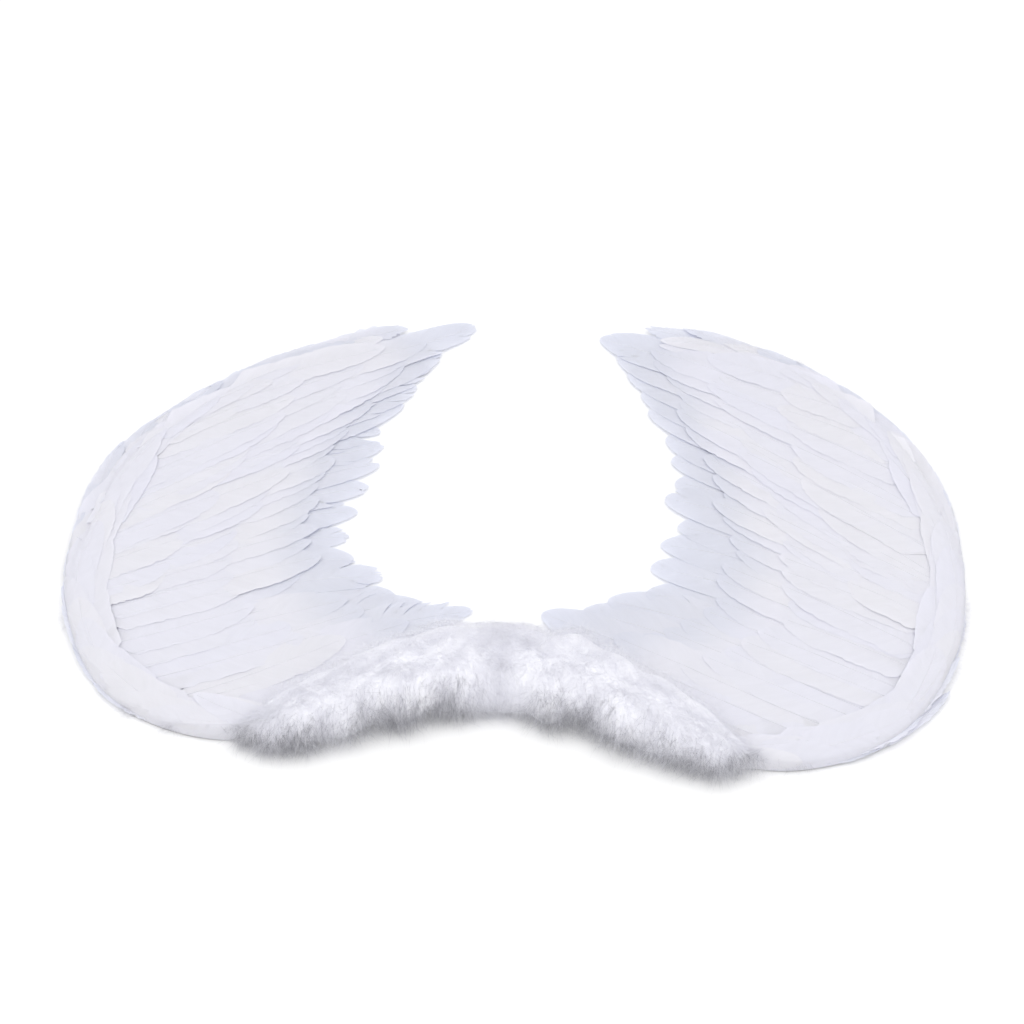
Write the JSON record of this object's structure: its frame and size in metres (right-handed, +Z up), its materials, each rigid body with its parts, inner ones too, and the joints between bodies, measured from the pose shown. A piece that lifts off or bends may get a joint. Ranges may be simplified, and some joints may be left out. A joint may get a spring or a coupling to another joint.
{
  "type": "feather costume wings",
  "caption": "Pair of white feather wings for a costume, with flight feathers, covert rows and a downy marabou trim on one felt backing, lying face up.",
  "frame": {"origin": "centre of the bottom of the object's box, on the surface that the wings lie on", "axes": "+X to the wearer's right along the span, +Y towards the wing tips, +Z up, out of the feathered face"},
  "size_m": [0.6, 0.4246, 0.0278],
  "materials": {
    "felt_backing": "white needled felt, matt and slightly fuzzy",
    "flight_feather": "white goose feather, smooth vane with fine barbs, slightly bluish where it is thin",
    "covert_feather": "white goose feather, soft satin vane with fine barbs and a pale cream shaft",
    "marabou_down": "white marabou down, loose and fluffy"
  },
  "bodies": {
    "root": {"backing": "felt_backing", "right_flight_feather_01": "flight_feather", "right_flight_feather_02": "flight_feather", "right_flight_feather_03": "flight_feather", "right_flight_feather_04": "flight_feather", "right_flight_feather_05": "flight_feather", "right_flight_feather_06": "flight_feather", "right_flight_feather_07": "flight_feather", "right_flight_feather_08": "flight_feather", "right_flight_feather_09": "flight_feather", "right_flight_feather_10": "flight_feather", "right_flight_feather_11": "flight_feather", "right_flight_feather_12": "flight_feather", "right_flight_feather_13": "flight_feather", "right_flight_feather_14": "flight_feather", "right_flight_feather_15": "flight_feather", "right_flight_feather_16": "flight_feather", "right_flight_feather_17": "flight_feather", "right_middle_coverts": "covert_feather", "right_upper_coverts": "covert_feather", "right_rim_coverts": "covert_feather", "right_marabou": "marabou_down", "left_flight_feather_01": "flight_feather", "left_flight_feather_02": "flight_feather", "left_flight_feather_03": "flight_feather", "left_flight_feather_04": "flight_feather", "left_flight_feather_05": "flight_feather", "left_flight_feather_06": "flight_feather", "left_flight_feather_07": "flight_feather", "left_flight_feather_08": "flight_feather", "left_flight_feather_09": "flight_feather", "left_flight_feather_10": "flight_feather", "left_flight_feather_11": "flight_feather", "left_flight_feather_12": "flight_feather", "left_flight_feather_13": "flight_feather", "left_flight_feather_14": "flight_feather", "left_flight_feather_15": "flight_feather", "left_flight_feather_16": "flight_feather", "left_flight_feather_17": "flight_feather", "left_middle_coverts": "covert_feather", "left_upper_coverts": "covert_feather", "left_rim_coverts": "covert_feather", "left_marabou": "marabou_down"}
  },
  "joints": []
}
